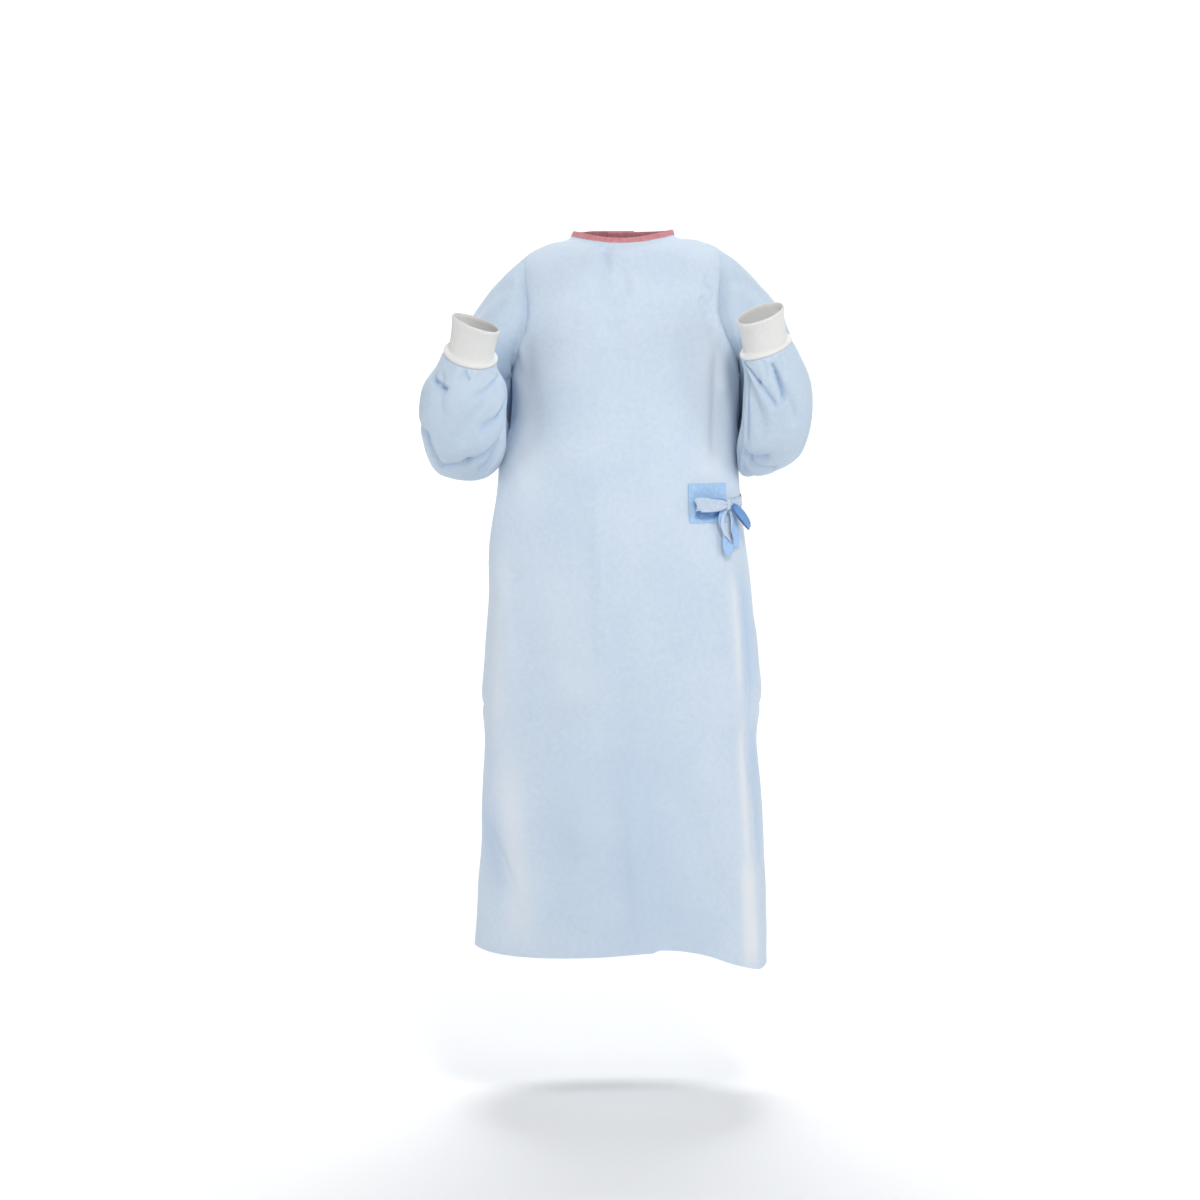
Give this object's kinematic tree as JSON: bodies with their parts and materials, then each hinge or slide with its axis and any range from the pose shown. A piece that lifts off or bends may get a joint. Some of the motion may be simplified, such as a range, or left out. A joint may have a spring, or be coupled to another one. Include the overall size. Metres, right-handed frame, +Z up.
{
  "type": "surgical gown",
  "caption": "Pale blue wrap-back surgical gown in its worn form, forearms raised, with white knit cuffs, a pink neck binding and a bow tied on a patch at the waist.",
  "frame": {"origin": "midway between the points where the two shoulder seams meet the neck, where the shoulders carry the gown", "axes": "+Z up along the gown, +X to the wearer's left, -Y the gown's front"},
  "size_m": [0.6516, 0.4295, 1.2572],
  "materials": {
    "panel_cloth": "pale blue SMS nonwoven, matt",
    "knit_cuff": "white polyester rib knit",
    "neck_tape": "pink nonwoven binding tape",
    "neck_tab": "white hook-and-loop tape",
    "tie_patch": "light blue laminated nonwoven patch",
    "tie_cloth": "nonwoven tie, pale outside and blue inside"
  },
  "bodies": {
    "root": {"front": "panel_cloth", "back_right": "panel_cloth", "back_left": "panel_cloth", "sleeve_right": "panel_cloth", "sleeve_left": "panel_cloth", "cuff_right": "knit_cuff", "cuff_left": "knit_cuff", "neck_binding": "neck_tape", "neck_tab": "neck_tab", "tie_patch": "tie_patch", "waist_tie": "tie_cloth", "bow_knot": "tie_cloth", "bow_loop_right": "tie_cloth", "bow_loop_left": "tie_cloth", "bow_tail_right": "tie_cloth", "bow_tail_left": "tie_cloth"}
  },
  "joints": []
}
